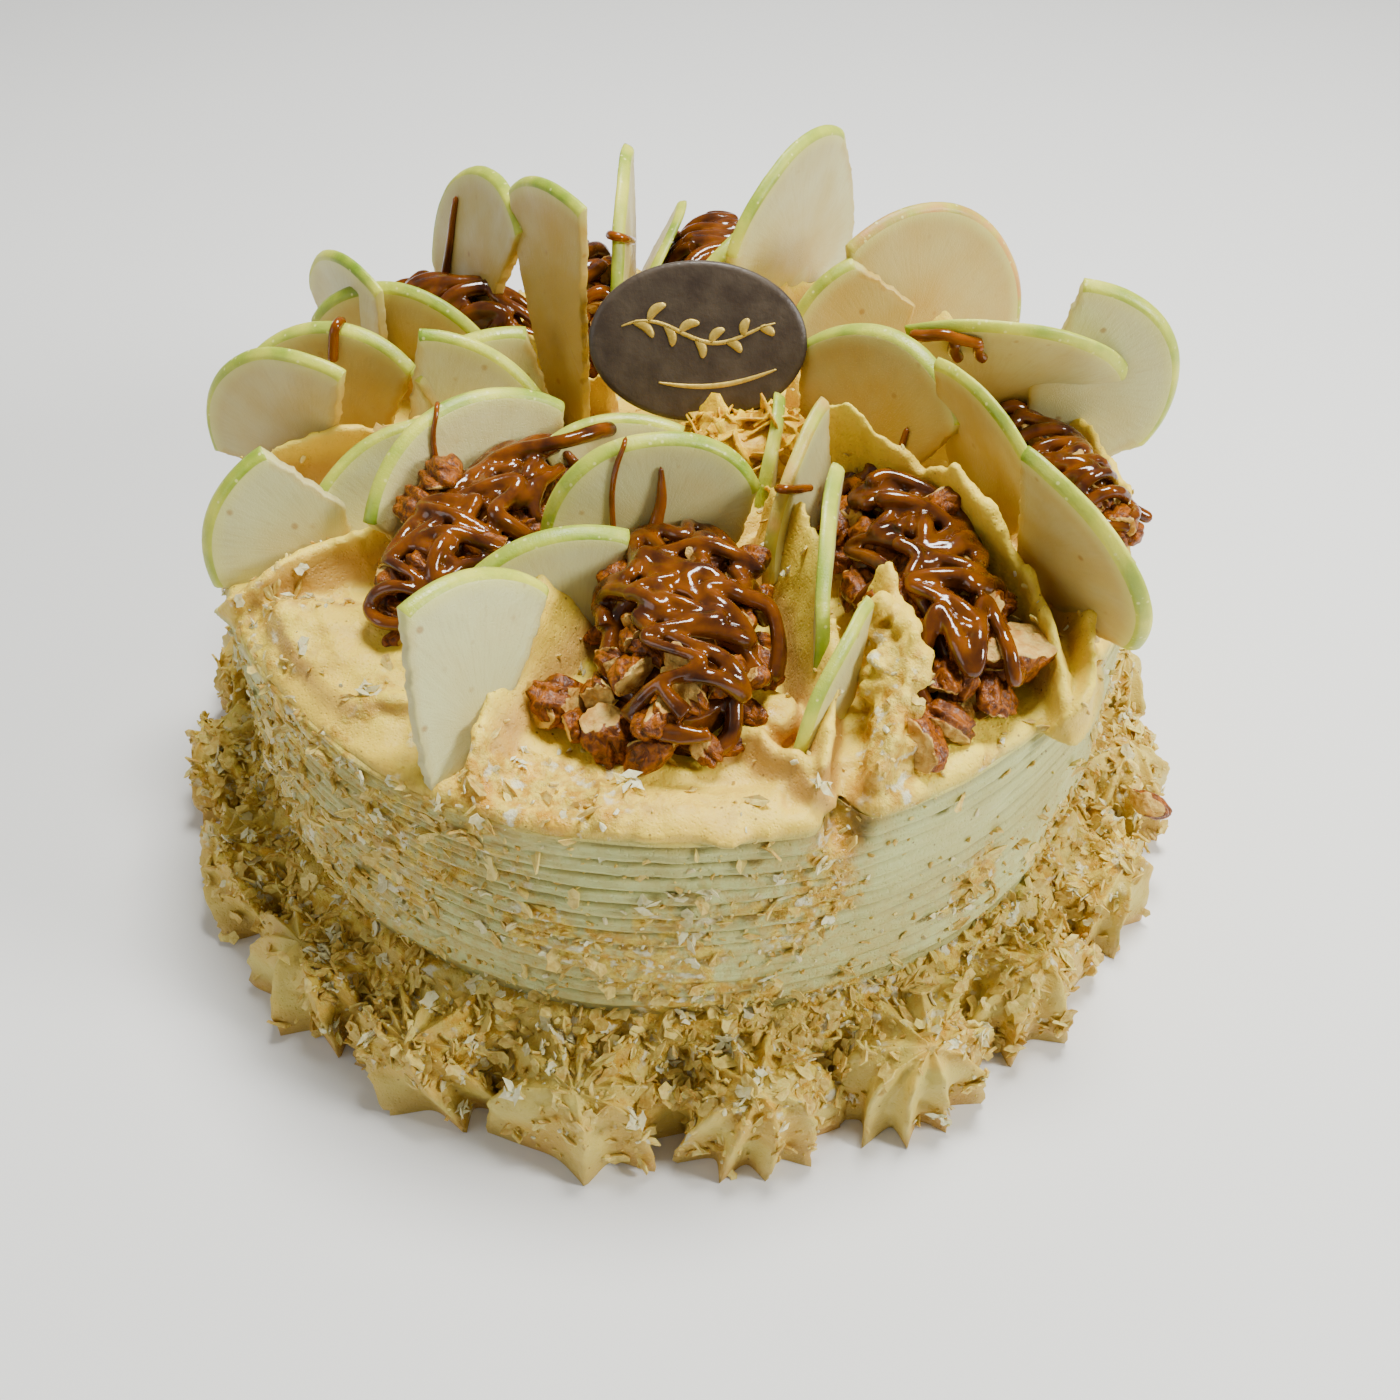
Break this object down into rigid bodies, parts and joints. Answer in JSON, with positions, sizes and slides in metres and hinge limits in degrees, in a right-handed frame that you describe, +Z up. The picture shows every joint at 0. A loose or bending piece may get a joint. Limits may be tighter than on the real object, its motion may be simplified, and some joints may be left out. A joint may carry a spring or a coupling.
{
  "type": "apple cake",
  "caption": "Round iced cake with a combed cream side, a piped star border, leaning apple slices, caramel-covered pecans, wafer flakes and an oval chocolate plaque.",
  "frame": {"origin": "on the cake's axis at its underside, which stands on the surface", "axes": "+Z is up. -Y is the side that the picture shows, and +X is the right of the picture."},
  "size_m": [0.258, 0.258, 0.1474],
  "materials": {
    "cream": "matte",
    "apple": "satin",
    "pecan": "gloss",
    "wafer": "matte",
    "chocolate": "satin"
  },
  "bodies": {
    "root": {"iced_cake": "cream", "piped_border": "cream", "apple_slice_01": "apple", "apple_slice_02": "apple", "apple_slice_03": "apple", "apple_slice_04": "apple", "apple_slice_05": "apple", "apple_slice_06": "apple", "apple_slice_07": "apple", "apple_slice_08": "apple", "apple_slice_09": "apple", "apple_slice_10": "apple", "apple_slice_11": "apple", "apple_slice_12": "apple", "apple_slice_13": "apple", "apple_slice_14": "apple", "apple_slice_15": "apple", "apple_slice_16": "apple", "apple_slice_17": "apple", "apple_slice_18": "apple", "apple_slice_19": "apple", "apple_slice_20": "apple", "apple_slice_21": "apple", "apple_slice_22": "apple", "apple_slice_23": "apple", "apple_slice_24": "apple", "apple_slice_25": "apple", "apple_slice_26": "apple", "apple_slice_27": "apple", "apple_slice_28": "apple", "apple_slice_29": "apple", "apple_slice_30": "apple", "pecan_heap_front": "pecan", "pecan_heap_right": "pecan", "pecan_heap_left": "pecan", "pecan_heap_far_right": "pecan", "pecan_heap_far_left": "pecan", "pecan_heap_back_left": "pecan", "pecan_heap_back_right": "pecan", "wafer_heap": "wafer", "oval_plaque": "chocolate"}
  },
  "joints": []
}
